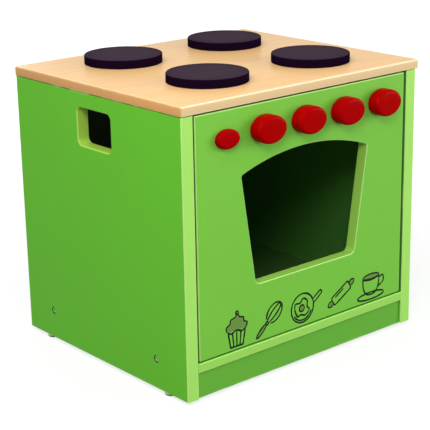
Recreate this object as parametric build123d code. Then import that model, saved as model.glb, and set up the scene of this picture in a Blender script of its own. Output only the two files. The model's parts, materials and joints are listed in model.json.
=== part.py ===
from build123d import *
import os

# Toy oven: a play cooker of lacquered boards with a hinged oven door, knobs that turn and a hob.
# Millimetres. +X is to the right as seen by the child, +Y goes to the back, +Z is up.
# The origin lies on the floor, under the middle of the whole object's box.

# ---------------------------------------------------------------- driving dimensions
# carcass
carcass_width = 400.0
carcass_depth = 345.0
side_height = 356.0
side_thickness = 18.0
side_edge_radius = 1.5
shelf_thickness = 12.0
shelf_top_height = 46.0
shelf_edge_radius = 1.0
plinth_thickness = 12.0
plinth_setback = 3.0
back_thickness = 6.0
back_rebate_width = 8.0
back_rebate_clearance = 0.3
rail_width = 60.0
rail_thickness = 12.0
rail_gap = 9.0

# worktop
worktop_thickness = 12.0
worktop_side_overhang = 6.0
worktop_back_overhang = 3.0
worktop_corner_radius = 3.0
worktop_top_radius = 2.0
worktop_bottom_radius = 0.6

# hand holes in the side panels
hand_hole_width = 70.0
hand_hole_height = 49.0
hand_hole_drop = 20.0
hand_hole_radius = 8.0
hand_hole_round_over = 2.0

# hob discs
hob_radius = 52.0
hob_thickness = 12.0
hob_left_inset = 119.0
hob_front_inset = 93.0
hob_column_spacing = 178.0
hob_row_spacing = 173.0
hob_top_radius = 1.5
hob_screw_offset = 22.0

# door
door_thickness = 16.0
door_recess = 1.0
door_side_gap = 3.0
door_edge_radius = 1.5
window_left_margin = 71.0
window_right_margin = 68.0
window_bottom_margin = 77.0
window_top_margin = 65.0
window_arch_rise = 20.0
window_taper = 22.5
window_bottom_radius = 8.0
window_top_radius = 4.0
window_round_over = 1.2

# door pivots
pivot_edge_distance = 9.0
pin_radius = 3.0
pin_end_gap = 1.0
bush_length = 12.0
bush_radius = 4.5
bush_flange_radius = 6.0
bush_flange_thickness = 1.8
bush_running_gap = 0.2

# knobs and pull
knob_names = ["knob_left", "knob_centre_left", "knob_centre_right", "knob_right"]
knob_width = 47.0
knob_height = 35.0
knob_thickness = 17.8
knob_front_radius = 4.0
knob_back_radius = 1.0
knob_first_inset = 107.5
knob_last_inset = 46.5
knob_drop = 31.5
knob_front_wall = 5.8
knob_spacer_radius = 9.0
knob_spacer_thickness = 0.8
knob_washer_radius = 5.5
knob_washer_thickness = 1.0
knob_play = 0.2
knob_screw_radius = 2.0
knob_screw_head_radius = 4.0
knob_screw_head_height = 2.6
pull_width = 35.0
pull_height = 24.0
pull_thickness = 8.2
pull_front_radius = 3.0
pull_edge_inset = 47.0
pull_drop = 34.5
pull_front_wall = 3.2

# magnetic catch
catch_width = 14.0
catch_depth = 20.0
catch_height = 42.0
catch_centre_height = 200.0
catch_screw_spacing = 28.0
catch_gap = 0.2
magnet_width = 8.0
magnet_depth = 12.0
magnet_height = 12.0
pole_thickness = 1.2
pole_reach = 0.6
strike_width = 12.0
strike_height = 30.0
strike_thickness = 1.0
strike_edge_inset = 1.5

# fasteners and glides
shelf_screw_inset = 60.0
shelf_screw_length = 50.0
shelf_screw_head_radius = 5.0
shelf_screw_head_height = 3.5
shelf_screw_collar_radius = 3.5
shelf_screw_collar_length = 16.0
shelf_screw_thread_radius = 2.5
shelf_screw_socket = 4.0
shelf_screw_socket_depth = 3.0
wood_screw_radius = 1.6
wood_screw_head_radius = 3.1
wood_screw_head_height = 1.7
rail_screw_bite = 8.0
hob_screw_bite = 8.0
back_screw_bite = 14.0
catch_screw_bite = 6.0
strike_screw_bite = 11.0
cross_recess_width = 0.9
cross_recess_span = 3.4
cross_recess_depth = 1.2
screw_tip_length = 2.5
rail_screw_offset = 130.0
back_screw_offset = 90.0
back_screw_bottom_height = 40.0
back_screw_top_drop = 40.0
worktop_dowel_radius = 4.0
worktop_dowel_length = 30.0
worktop_cover = 3.0
shelf_cover = 2.0
side_cover = 7.0
rail_dowel_radius = 3.0
rail_dowel_length = 26.0
rail_dowel_offset = 18.0
plinth_dowel_inset = 9.0
dowel_chamfer = 0.8
dowel_end_gap = 1.0
glide_radius = 7.5
glide_height = 4.5
glide_dome_radius = 1.5
glide_nail_radius = 1.0
glide_nail_length = 14.0
glide_side_inset = 8.0
glide_end_inset = 43.0

# clearances, on the radius
screw_clearance = 0.05
dowel_clearance = 0.05
bush_clearance = 0.05
pin_running_clearance = 0.05
spindle_running_clearance = 0.1

# ---------------------------------------------------------------- places worked out from the sizes
overall_width = carcass_width + worktop_side_overhang
knob_gap = knob_spacer_thickness + knob_play
knob_reach = knob_gap + knob_thickness - door_recess
overall_depth = knob_reach + carcass_depth + worktop_back_overhang

left_x = -overall_width / 2
right_x = left_x + carcass_width
inner_left_x = left_x + side_thickness
inner_right_x = right_x - side_thickness
front_y = knob_reach - overall_depth / 2
back_y = front_y + carcass_depth
back_panel_y = back_y - back_thickness
base_z = glide_height
side_top_z = base_z + side_height
worktop_top_z = side_top_z + worktop_thickness
shelf_top_z = base_z + shelf_top_height
shelf_bottom_z = shelf_top_z - shelf_thickness
rail_bottom_z = side_top_z - rail_thickness

worktop_bite = worktop_thickness - worktop_cover - dowel_end_gap
shelf_bite = shelf_thickness - shelf_cover - dowel_end_gap
side_bite = side_thickness - side_cover - dowel_end_gap

door_end_gap = bush_flange_thickness + bush_running_gap
door_left_x = inner_left_x + door_side_gap
door_right_x = inner_right_x - door_side_gap
door_front_y = front_y + door_recess
door_back_y = door_front_y + door_thickness
door_bottom_z = shelf_top_z + door_end_gap
door_top_z = side_top_z - door_end_gap
pivot_x = door_right_x - pivot_edge_distance
pivot_y = door_front_y + door_thickness / 2
pin_bite = bush_length - pin_end_gap

knob_z = door_top_z - knob_drop
knob_first_x = door_left_x + knob_first_inset
knob_last_x = door_right_x - knob_last_inset
knob_spacing = (knob_last_x - knob_first_x) / (len(knob_names) - 1)
knob_xs = [knob_first_x + knob_spacing * place for place in range(len(knob_names))]
knob_back_y = door_front_y - knob_gap
knob_screw_bite = knob_thickness - knob_front_wall - dowel_end_gap
pull_x = door_left_x + pull_edge_inset
pull_z = door_top_z - pull_drop

hob_xs = {"left": left_x + hob_left_inset, "right": left_x + hob_left_inset + hob_column_spacing}
hob_ys = {"front": front_y + hob_front_inset, "back": front_y + hob_front_inset + hob_row_spacing}

front_rail_y = door_back_y + rail_gap
back_rail_y = back_panel_y - rail_width
rail_centre_ys = [front_rail_y + rail_width / 2, back_rail_y + rail_width / 2]
rail_centre_z = rail_bottom_z + rail_thickness / 2
shelf_centre_z = shelf_bottom_z + shelf_thickness / 2
shelf_screw_ys = [front_y + shelf_screw_inset, back_y - shelf_screw_inset]
plinth_front_y = front_y + plinth_setback
plinth_centre_y = plinth_front_y + plinth_thickness / 2
glide_ys = [front_y + glide_end_inset, back_y - glide_end_inset]
glide_xs = [left_x + glide_side_inset, right_x - glide_side_inset]
carcass_middle_x = (left_x + right_x) / 2
catch_z = base_z + catch_centre_height
pole_front_y = door_back_y + strike_thickness + catch_gap
catch_front_y = pole_front_y + pole_reach
magnet_middle_x = inner_left_x + catch_width / 2

rail_screw_length = rail_thickness + rail_screw_bite
hob_screw_length = worktop_thickness + hob_screw_bite
back_screw_length = back_thickness + back_screw_bite
catch_screw_length = catch_width + catch_screw_bite
strike_screw_length = strike_thickness + strike_screw_bite
pull_screw_length = door_thickness + pull_thickness - pull_front_wall


# ---------------------------------------------------------------- shapes used more than once
def block(low, high):
    """A box between two corners."""
    size = [b - a for a, b in zip(low, high)]
    middle = [(a + b) / 2 for a, b in zip(low, high)]
    return Pos(*middle) * Box(*size)


def rod(start, direction, radius, length):
    """A round bar that starts at a point and runs along a direction."""
    bar = Cylinder(radius, length, align=(Align.CENTER, Align.CENTER, Align.MIN))
    return Plane(origin=start, z_dir=direction) * bar


def join(solids):
    """Separate solids kept together in one group."""
    return Compound(children=list(solids))


def cross_recess():
    """The cross in a screw's head, cut down from the plane z = 0."""
    along = Box(cross_recess_span, cross_recess_width, 2 * cross_recess_depth)
    across = Box(cross_recess_width, cross_recess_span, 2 * cross_recess_depth)
    return along + across


def wood_screw(length, extra=0.0):
    """A countersunk screw that points down from the plane z = 0. With extra it is the hole for one."""
    head = Pos(0, 0, -wood_screw_head_height) * Cone(
        wood_screw_radius + extra,
        wood_screw_head_radius + extra,
        wood_screw_head_height,
        align=(Align.CENTER, Align.CENTER, Align.MIN),
    )
    straight = length - wood_screw_head_height - screw_tip_length
    shank = Pos(0, 0, screw_tip_length - length) * Cylinder(
        wood_screw_radius + extra, straight, align=(Align.CENTER, Align.CENTER, Align.MIN)
    )
    tip = Pos(0, 0, -length) * Cone(
        wood_screw_radius / 4 + extra,
        wood_screw_radius + extra,
        screw_tip_length,
        align=(Align.CENTER, Align.CENTER, Align.MIN),
    )
    screw = head + shank + tip
    return screw if extra else screw - cross_recess()


def shelf_screw(extra=0.0):
    """A stepped furniture screw that points down from the plane z = 0. With extra it is the hole for one."""
    head = Pos(0, 0, -shelf_screw_head_height) * Cone(
        shelf_screw_collar_radius + extra,
        shelf_screw_head_radius + extra,
        shelf_screw_head_height,
        align=(Align.CENTER, Align.CENTER, Align.MIN),
    )
    collar = Pos(0, 0, -shelf_screw_collar_length) * Cylinder(
        shelf_screw_collar_radius + extra,
        shelf_screw_collar_length - shelf_screw_head_height,
        align=(Align.CENTER, Align.CENTER, Align.MIN),
    )
    thread_length = shelf_screw_length - shelf_screw_collar_length - screw_tip_length
    thread = Pos(0, 0, screw_tip_length - shelf_screw_length) * Cylinder(
        shelf_screw_thread_radius + extra, thread_length, align=(Align.CENTER, Align.CENTER, Align.MIN)
    )
    tip = Pos(0, 0, -shelf_screw_length) * Cone(
        shelf_screw_thread_radius / 2 + extra,
        shelf_screw_thread_radius + extra,
        screw_tip_length,
        align=(Align.CENTER, Align.CENTER, Align.MIN),
    )
    screw = head + collar + thread + tip
    if extra:
        return screw
    mouth = RegularPolygon(shelf_screw_socket / 2, 6, major_radius=False)
    return screw - extrude(mouth, -shelf_screw_socket_depth)


def dowel(start, direction, radius, length):
    """A dowel pin with chamfered ends that starts at a point and runs along a direction."""
    pin = Cylinder(radius, length, align=(Align.CENTER, Align.CENTER, Align.MIN))
    pin = chamfer(pin.edges().filter_by(GeomType.CIRCLE), dowel_chamfer)
    return Plane(origin=start, z_dir=direction) * pin


def dowel_hole(start, direction, radius, length):
    """The hole for a dowel, a little wider and longer at both ends."""
    unit = Vector(*direction)
    begin = Vector(*start) - unit * dowel_end_gap
    return rod(begin, direction, radius + dowel_clearance, length + 2 * dowel_end_gap)


# ---------------------------------------------------------------- where each fastener sits
def shelf_screw_planes():
    """Head planes of the screws through the side panels into the shelf's ends."""
    planes = []
    for y in shelf_screw_ys:
        planes.append(Plane(origin=(left_x, y, shelf_centre_z), z_dir=(-1, 0, 0)))
        planes.append(Plane(origin=(right_x, y, shelf_centre_z), z_dir=(1, 0, 0)))
    return planes


def worktop_screw_planes():
    """Head planes of the screws up through the top rails into the worktop."""
    xs = [carcass_middle_x - rail_screw_offset, carcass_middle_x, carcass_middle_x + rail_screw_offset]
    return [Plane(origin=(x, y, rail_bottom_z), z_dir=(0, 0, -1)) for y in rail_centre_ys for x in xs]


def hob_screw_planes():
    """Head planes of the screws up through the worktop into the hob discs, two to a disc."""
    planes = []
    for y in hob_ys.values():
        for x in hob_xs.values():
            for offset in (-hob_screw_offset, hob_screw_offset):
                planes.append(Plane(origin=(x + offset, y, side_top_z), z_dir=(0, 0, -1)))
    return planes


def back_screw_planes():
    """Head planes of the screws that hold the back panel to the sides, the shelf and the back rail."""
    side_zs = [
        base_z + back_screw_bottom_height,
        base_z + side_height / 2,
        side_top_z - back_screw_top_drop,
    ]
    rebate_xs = [inner_left_x - back_rebate_width / 2, inner_right_x + back_rebate_width / 2]
    points = [(x, z) for x in rebate_xs for z in side_zs]
    for x in (carcass_middle_x - back_screw_offset, carcass_middle_x + back_screw_offset):
        points.append((x, shelf_centre_z))
        points.append((x, rail_centre_z))
    return [Plane(origin=(x, back_y, z), z_dir=(0, 1, 0)) for x, z in points]


def catch_screw_planes():
    """Head planes of the screws through the magnetic catch into the left side panel."""
    y = catch_front_y + catch_depth / 2
    x = inner_left_x + catch_width
    zs = [catch_z - catch_screw_spacing / 2, catch_z + catch_screw_spacing / 2]
    return [Plane(origin=(x, y, z), z_dir=(1, 0, 0)) for z in zs]


def worktop_dowel_starts():
    """Lower ends of the dowels that stand in the side panels and reach into the worktop."""
    xs = [left_x + side_thickness / 2, right_x - side_thickness / 2]
    z = side_top_z + worktop_bite - worktop_dowel_length
    return [(x, y, z) for x in xs for y in rail_centre_ys]


def cross_dowel_starts(points):
    """Outer ends of dowels that lie along X, from a side panel into a board between the sides."""
    left = [(inner_left_x - side_bite, y, z) for y, z in points]
    right = [(inner_right_x + side_bite - rail_dowel_length, y, z) for y, z in points]
    return left + right


def rail_dowel_starts():
    """Two dowels in each end of each top rail."""
    offsets = (-rail_dowel_offset, rail_dowel_offset)
    return cross_dowel_starts([(y + offset, rail_centre_z) for y in rail_centre_ys for offset in offsets])


def plinth_dowel_starts():
    """Two dowels in each end of the plinth."""
    heights = (base_z + plinth_dowel_inset, shelf_bottom_z - plinth_dowel_inset)
    return cross_dowel_starts([(plinth_centre_y, z) for z in heights])


def cut_shelf_screws(board):
    return board - [plane * shelf_screw(screw_clearance) for plane in shelf_screw_planes()]


def cut_wood_screws(board, planes, length):
    return board - [plane * wood_screw(length, screw_clearance) for plane in planes]


def cut_rail_dowels(board, starts):
    return board - [dowel_hole(s, (1, 0, 0), rail_dowel_radius, rail_dowel_length) for s in starts]


def cut_worktop_dowels(board):
    starts = worktop_dowel_starts()
    return board - [dowel_hole(s, (0, 0, 1), worktop_dowel_radius, worktop_dowel_length) for s in starts]


# ---------------------------------------------------------------- carcass boards
def glide_nail_holes():
    """Holes in the side panels' lower edges for the nails of the glides."""
    length = glide_nail_length + dowel_end_gap
    radius = glide_nail_radius + screw_clearance
    return [rod((x, y, base_z), (0, 0, 1), radius, length) for x in glide_xs for y in glide_ys]


def round_rims(board, axis, radius):
    """Rounds both rims of the one hole that goes right through a board."""
    faces = board.faces().sort_by(axis)
    return fillet(faces[0].inner_wires()[0].edges() + faces[-1].inner_wires()[0].edges(), radius)


def side_panel(outer_x, inner_x, rebate_x):
    """A side panel with its hand hole, seen from outside as a plain board with soft edges."""
    low_x, high_x = min(outer_x, inner_x), max(outer_x, inner_x)
    panel = block((low_x, front_y, base_z), (high_x, back_y, side_top_z))
    upright = panel.edges().filter_by(Axis.Z)
    lower = panel.edges().filter_by(Axis.Y).group_by(Axis.Z)[0]
    panel = fillet(upright + lower, side_edge_radius)
    hole = RectangleRounded(hand_hole_width, hand_hole_height, hand_hole_radius)
    hole_y = front_y + carcass_depth / 2
    hole_z = side_top_z - hand_hole_drop - hand_hole_height / 2
    middle_x = (outer_x + inner_x) / 2
    panel -= Plane(origin=(middle_x, hole_y, hole_z), x_dir=(0, 1, 0), z_dir=(1, 0, 0)) * extrude(
        hole, side_thickness, both=True
    )
    panel = round_rims(panel, Axis.X, hand_hole_round_over)
    low_rebate, high_rebate = min(inner_x, rebate_x), max(inner_x, rebate_x)
    panel -= block(
        (low_rebate, back_panel_y, base_z - side_edge_radius),
        (high_rebate, back_y + side_edge_radius, side_top_z + side_edge_radius),
    )
    panel = cut_shelf_screws(panel)
    panel = cut_worktop_dowels(panel)
    panel = cut_rail_dowels(panel, rail_dowel_starts() + plinth_dowel_starts())
    panel = cut_wood_screws(panel, back_screw_planes(), back_screw_length)
    panel -= glide_nail_holes()
    return panel


def left_side_panel():
    panel = side_panel(left_x, inner_left_x, inner_left_x - back_rebate_width)
    return cut_wood_screws(panel, catch_screw_planes(), catch_screw_length)


def right_side_panel():
    return side_panel(right_x, inner_right_x, inner_right_x + back_rebate_width)


def worktop():
    """The hob board on top, flush with the carcass at the front and on the left."""
    far_corner = (right_x + worktop_side_overhang, back_y + worktop_back_overhang, worktop_top_z)
    board = block((left_x, front_y, side_top_z), far_corner)
    board = fillet(board.edges().filter_by(Axis.Z), worktop_corner_radius)
    board = fillet(board.faces().sort_by(Axis.Z)[-1].edges(), worktop_top_radius)
    board = fillet(board.faces().sort_by(Axis.Z)[0].edges(), worktop_bottom_radius)
    board = cut_worktop_dowels(board)
    board = cut_wood_screws(board, worktop_screw_planes(), rail_screw_length)
    board = cut_wood_screws(board, hob_screw_planes(), hob_screw_length)
    depth = worktop_bite + dowel_end_gap
    board -= rod((pivot_x, pivot_y, side_top_z), (0, 0, 1), pin_radius + dowel_clearance, depth)
    return board


def bottom_shelf():
    """The oven's floor, which ties the side panels together under the door."""
    board = block((inner_left_x, front_y, shelf_bottom_z), (inner_right_x, back_panel_y, shelf_top_z))
    front_edges = board.edges().filter_by(Axis.X).group_by(Axis.Y)[0]
    board = fillet(front_edges, shelf_edge_radius)
    board = cut_shelf_screws(board)
    board = cut_wood_screws(board, back_screw_planes(), back_screw_length)
    depth = shelf_bite + dowel_end_gap
    board -= rod((pivot_x, pivot_y, shelf_top_z), (0, 0, -1), pin_radius + dowel_clearance, depth)
    return board


def plinth():
    """The board that closes the front below the shelf."""
    board = block(
        (inner_left_x, plinth_front_y, base_z),
        (inner_right_x, plinth_front_y + plinth_thickness, shelf_bottom_z),
    )
    return cut_rail_dowels(board, plinth_dowel_starts())


def top_rail(low_y):
    """A rail that lies flat under the worktop between the side panels."""
    board = block((inner_left_x, low_y, rail_bottom_z), (inner_right_x, low_y + rail_width, side_top_z))
    board = cut_rail_dowels(board, rail_dowel_starts())
    board = cut_wood_screws(board, worktop_screw_planes(), rail_screw_length)
    return cut_wood_screws(board, back_screw_planes(), back_screw_length)


def back_panel():
    """The thin board in the rebates at the back."""
    reach = back_rebate_width - back_rebate_clearance
    board = block((inner_left_x - reach, back_panel_y, base_z), (inner_right_x + reach, back_y, side_top_z))
    return cut_wood_screws(board, back_screw_planes(), back_screw_length)


# ---------------------------------------------------------------- hob
def hob_disc(x, y):
    """One hotplate, a plain round board with a softened upper edge."""
    disc = Cylinder(hob_radius, hob_thickness, align=(Align.CENTER, Align.CENTER, Align.MIN))
    disc = fillet(disc.edges().group_by(Axis.Z)[-1], hob_top_radius)
    disc = Pos(x, y, worktop_top_z) * disc
    return cut_wood_screws(disc, hob_screw_planes(), hob_screw_length)


# ---------------------------------------------------------------- door
def window_outline():
    """The window in the door's own plane: narrower at the bottom, with an arched top."""
    left = door_left_x + window_left_margin
    right = door_right_x - window_right_margin
    bottom = door_bottom_z + window_bottom_margin
    top = door_top_z - window_top_margin
    low_left = (left + window_taper, bottom)
    low_right = (right - window_taper, bottom)
    high_left = (left, top - window_arch_rise)
    high_right = (right, top - window_arch_rise)
    crown = ((left + right) / 2, top)
    edge = Line(low_left, low_right) + Line(low_right, high_right)
    edge += ThreePointArc(high_right, crown, high_left) + Line(high_left, low_left)
    outline = make_face(edge)
    outline = fillet(outline.vertices().group_by(Axis.Y)[0], window_bottom_radius)
    sides = outline.vertices().group_by(Axis.Y)[-1]
    return fillet(sides, window_top_radius)


def oven_door():
    """The whole front: it carries the knobs and the pull and turns on pins at its right edge."""
    door = block((door_left_x, door_front_y, door_bottom_z), (door_right_x, door_back_y, door_top_z))
    door = fillet(door.edges(), door_edge_radius)
    window = Plane(origin=(0, door_back_y + door_thickness, 0), x_dir=(1, 0, 0), z_dir=(0, -1, 0))
    door -= window * extrude(window_outline(), 3 * door_thickness)
    door = round_rims(door, Axis.Y, window_round_over)
    for z, direction in ((door_bottom_z, (0, 0, 1)), (door_top_z, (0, 0, -1))):
        door -= rod((pivot_x, pivot_y, z), direction, bush_radius + bush_clearance, bush_length)
    hole_radius = knob_screw_radius + spindle_running_clearance
    for x in knob_xs:
        door -= rod((x, door_front_y, knob_z), (0, 1, 0), hole_radius, door_thickness)
    door = cut_wood_screws(door, [pull_screw_plane()], pull_screw_length)
    door = cut_wood_screws(door, [strike_screw_plane()], strike_screw_length)
    return door


def pull_screw_plane():
    return Plane(origin=(pull_x, door_back_y, pull_z), z_dir=(0, 1, 0))


def strike_screw_plane():
    x = door_left_x + strike_edge_inset + strike_width / 2
    return Plane(origin=(x, door_back_y + strike_thickness, catch_z), z_dir=(0, 1, 0))


def oval_button(x, back_y_of_button, z, width, height, thickness, front_radius, back_radius):
    """An oval of the given width and height that stands out from the door, softened at its front."""
    outline = Plane(origin=(x, back_y_of_button, z), x_dir=(1, 0, 0), z_dir=(0, -1, 0)) * Ellipse(
        width / 2, height / 2
    )
    button = extrude(outline, thickness)
    button = fillet(button.edges().group_by(Axis.Y)[0], front_radius)
    return fillet(button.edges().group_by(Axis.Y)[-1], back_radius)


def knob(x):
    """A cooker knob with a blind hole in its back for its screw."""
    button = oval_button(
        x,
        knob_back_y,
        knob_z,
        knob_width,
        knob_height,
        knob_thickness,
        knob_front_radius,
        knob_back_radius,
    )
    depth = knob_screw_bite + dowel_end_gap
    return button - rod((x, knob_back_y, knob_z), (0, -1, 0), knob_screw_radius + screw_clearance, depth)


def knob_screw(x):
    """The knob's axle: it goes through the door from behind and is fast in the knob."""
    head_y = door_back_y + knob_washer_thickness + knob_play
    length = head_y - knob_back_y + knob_screw_bite
    screw = rod((x, head_y, knob_z), (0, -1, 0), knob_screw_radius, length)
    head = rod((x, head_y, knob_z), (0, 1, 0), knob_screw_head_radius, knob_screw_head_height)
    head = fillet(head.edges().group_by(Axis.Y)[-1], knob_screw_head_height / 2)
    recess = Plane(origin=(x, head_y + knob_screw_head_height, knob_z), z_dir=(0, 1, 0)) * cross_recess()
    return screw + head - recess


def rings(y, direction, radius, thickness):
    """One ring round each knob's screw."""
    hole_radius = knob_screw_radius + spindle_running_clearance
    made = []
    for x in knob_xs:
        ring = rod((x, y, knob_z), direction, radius, thickness)
        made.append(ring - rod((x, y, knob_z), direction, hole_radius, thickness))
    return join(made)


def knob_spacers():
    """Thin rings that keep the knobs off the door's face."""
    return rings(door_front_y, (0, -1, 0), knob_spacer_radius, knob_spacer_thickness)


def knob_washers():
    """Steel washers behind the door, under the screws' heads."""
    return rings(door_back_y, (0, 1, 0), knob_washer_radius, knob_washer_thickness)


def door_pull():
    """The small fixed button that opens the door."""
    button = oval_button(
        pull_x,
        door_front_y,
        pull_z,
        pull_width,
        pull_height,
        pull_thickness,
        pull_front_radius,
        knob_back_radius,
    )
    return cut_wood_screws(button, [pull_screw_plane()], pull_screw_length)


def pull_screw():
    return pull_screw_plane() * wood_screw(pull_screw_length)


# ---------------------------------------------------------------- door pivots and catch
def door_pins():
    """Two steel pins on the door's axis, fast in the shelf and in the worktop."""
    low_start = (pivot_x, pivot_y, shelf_top_z - shelf_bite)
    low = rod(low_start, (0, 0, 1), pin_radius, shelf_bite + door_end_gap + pin_bite)
    high_start = (pivot_x, pivot_y, side_top_z + worktop_bite)
    high = rod(high_start, (0, 0, -1), pin_radius, worktop_bite + door_end_gap + pin_bite)
    return join([low, high])


def door_bush(edge_z, inward):
    """A flanged plastic bush in the door's end, where inward is the direction into the door."""
    body = rod((pivot_x, pivot_y, edge_z), (0, 0, inward), bush_radius, bush_length)
    flange = rod((pivot_x, pivot_y, edge_z), (0, 0, -inward), bush_flange_radius, bush_flange_thickness)
    start_z = edge_z - inward * bush_flange_thickness
    length = bush_flange_thickness + bush_length
    bore = rod((pivot_x, pivot_y, start_z), (0, 0, inward), pin_radius + pin_running_clearance, length)
    return body + flange - bore


def door_bushes():
    return join([door_bush(door_bottom_z, 1), door_bush(door_top_z, -1)])


def catch_body():
    """The magnet's housing on the inside of the left side panel."""
    body = block(
        (inner_left_x, catch_front_y, catch_z - catch_height / 2),
        (inner_left_x + catch_width, catch_front_y + catch_depth, catch_z + catch_height / 2),
    )
    pocket_half_height = magnet_height / 2 + pole_thickness
    body -= block(
        (magnet_middle_x - magnet_width / 2, pole_front_y, catch_z - pocket_half_height),
        (magnet_middle_x + magnet_width / 2, catch_front_y + magnet_depth, catch_z + pocket_half_height),
    )
    return cut_wood_screws(body, catch_screw_planes(), catch_screw_length)


def magnet_layer(front, low_z, high_z):
    """A block in the housing's pocket, from a front face to the pocket's floor."""
    return block(
        (magnet_middle_x - magnet_width / 2, front, low_z),
        (magnet_middle_x + magnet_width / 2, catch_front_y + magnet_depth, high_z),
    )


def catch_magnet():
    return magnet_layer(catch_front_y, catch_z - magnet_height / 2, catch_z + magnet_height / 2)


def catch_poles():
    """Steel plates above and below the magnet, which reach out to the strike plate and stop the door."""
    low = catch_z - magnet_height / 2
    high = catch_z + magnet_height / 2
    return join([
        magnet_layer(pole_front_y, low - pole_thickness, low),
        magnet_layer(pole_front_y, high, high + pole_thickness),
    ])


def strike_plate():
    """The steel plate on the door's back that the magnet holds."""
    plane = strike_screw_plane()
    x = plane.origin.X
    plate = block(
        (x - strike_width / 2, door_back_y, catch_z - strike_height / 2),
        (x + strike_width / 2, door_back_y + strike_thickness, catch_z + strike_height / 2),
    )
    return cut_wood_screws(plate, [plane], strike_screw_length)


def strike_screw():
    return strike_screw_plane() * wood_screw(strike_screw_length)


# ---------------------------------------------------------------- fastener groups and glides
def screws(planes, screw):
    return join(plane * screw for plane in planes)


def dowels(starts, direction, radius, length):
    return join(dowel(start, direction, radius, length) for start in starts)


def glide(x, y):
    """A nail-on glide under a side panel."""
    foot = Pos(x, y, 0) * Cylinder(glide_radius, glide_height, align=(Align.CENTER, Align.CENTER, Align.MIN))
    foot = fillet(foot.edges().group_by(Axis.Z)[0], glide_dome_radius)
    return foot + rod((x, y, base_z), (0, 0, 1), glide_nail_radius, glide_nail_length)


pieces = {
    "left_side_panel": left_side_panel(),
    "right_side_panel": right_side_panel(),
    "worktop": worktop(),
    "bottom_shelf": bottom_shelf(),
    "plinth": plinth(),
    "front_top_rail": top_rail(front_rail_y),
    "back_top_rail": top_rail(back_rail_y),
    "back_panel": back_panel(),
    "oven_door": oven_door(),
    "knob_spacers": knob_spacers(),
    "knob_washers": knob_washers(),
    "door_pull": door_pull(),
    "pull_screw": pull_screw(),
    "door_pins": door_pins(),
    "door_bushes": door_bushes(),
    "catch_body": catch_body(),
    "catch_magnet": catch_magnet(),
    "catch_poles": catch_poles(),
    "catch_screws": screws(catch_screw_planes(), wood_screw(catch_screw_length)),
    "strike_plate": strike_plate(),
    "strike_screw": strike_screw(),
    "shelf_screws": screws(shelf_screw_planes(), shelf_screw()),
    "worktop_screws": screws(worktop_screw_planes(), wood_screw(rail_screw_length)),
    "hob_disc_screws": screws(hob_screw_planes(), wood_screw(hob_screw_length)),
    "back_panel_screws": screws(back_screw_planes(), wood_screw(back_screw_length)),
    "worktop_dowels": dowels(worktop_dowel_starts(), (0, 0, 1), worktop_dowel_radius, worktop_dowel_length),
    "rail_dowels": dowels(rail_dowel_starts(), (1, 0, 0), rail_dowel_radius, rail_dowel_length),
    "plinth_dowels": dowels(plinth_dowel_starts(), (1, 0, 0), rail_dowel_radius, rail_dowel_length),
    "glides": join(glide(x, y) for x in glide_xs for y in glide_ys),
}
for row, y in hob_ys.items():
    for column, x in hob_xs.items():
        pieces[f"hob_disc_{row}_{column}"] = hob_disc(x, y)
for name, x in zip(knob_names, knob_xs):
    pieces[name] = knob(x)
    pieces[f"{name}_screw"] = knob_screw(x)

os.makedirs("parts", exist_ok=True)
for name, piece in pieces.items():
    export_step(piece, f"parts/{name}.step")
print(len(pieces), "pieces written")
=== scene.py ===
# %% [markdown]
# # A toy oven, dressed for its photograph
#
# The engineers' model of this play cooker is already exact: every board, pin and screw is where it
# belongs, and the door and the knobs know how they turn. What it lacks is looks. This lesson loads that
# model as a fixed frame and gives it what the eye wants: lacquer that is lighter along the boards' edges,
# pale wood with a quiet grain, turned hotplates, glossy oval knobs, a strip of printed kitchen drawings,
# and soft studio light.
#
# Each chapter first says what the thing is on the real object and how it could be made, and then makes it.

# %% The frame
import json
import math

import bmesh
import bpy
from mathutils import Matrix, Vector


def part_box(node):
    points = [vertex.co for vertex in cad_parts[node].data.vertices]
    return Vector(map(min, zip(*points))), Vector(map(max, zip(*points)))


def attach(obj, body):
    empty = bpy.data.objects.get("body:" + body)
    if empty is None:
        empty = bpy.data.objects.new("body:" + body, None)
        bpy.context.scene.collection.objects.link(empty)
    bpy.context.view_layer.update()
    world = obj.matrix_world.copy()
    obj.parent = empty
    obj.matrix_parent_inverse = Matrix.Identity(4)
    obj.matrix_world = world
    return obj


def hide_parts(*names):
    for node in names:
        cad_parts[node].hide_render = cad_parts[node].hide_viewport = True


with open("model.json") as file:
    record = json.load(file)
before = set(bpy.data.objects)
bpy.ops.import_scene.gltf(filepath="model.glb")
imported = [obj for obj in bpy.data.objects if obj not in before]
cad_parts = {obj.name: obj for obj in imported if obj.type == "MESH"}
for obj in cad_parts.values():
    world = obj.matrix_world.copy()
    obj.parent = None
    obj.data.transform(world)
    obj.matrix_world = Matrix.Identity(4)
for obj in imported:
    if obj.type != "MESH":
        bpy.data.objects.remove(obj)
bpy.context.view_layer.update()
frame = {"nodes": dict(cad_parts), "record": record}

nodes = frame["nodes"]

# %% [markdown]
# ## Places taken from the frame
#
# Nothing here is typed in twice: the places of the worktop, the door and the carcass are read from the
# model's own boxes, so the dressed pieces follow if the model changes. All lengths are metres, +Z is up
# and the door faces -Y.

# %% Places
MM = 0.001
worktop_low, worktop_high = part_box("worktop")
door_low, door_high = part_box("oven_door")
left_low, left_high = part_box("left_side_panel")
right_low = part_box("right_side_panel")[0]
front_y = left_low[1]
back_y = left_high[1]
door_face_y = door_low[1]
knob_names = ["knob_left", "knob_centre_left", "knob_centre_right", "knob_right"]
disc_names = [f"hob_disc_{row}_{column}" for row in ("front", "back") for column in ("left", "right")]
disc_low, disc_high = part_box(disc_names[0])
disc_radius = (disc_high[0] - disc_low[0]) / 2


def middle(name):
    """The middle of a node's box."""
    low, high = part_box(name)
    return [(a + b) / 2 for a, b in zip(low, high)]


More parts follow.
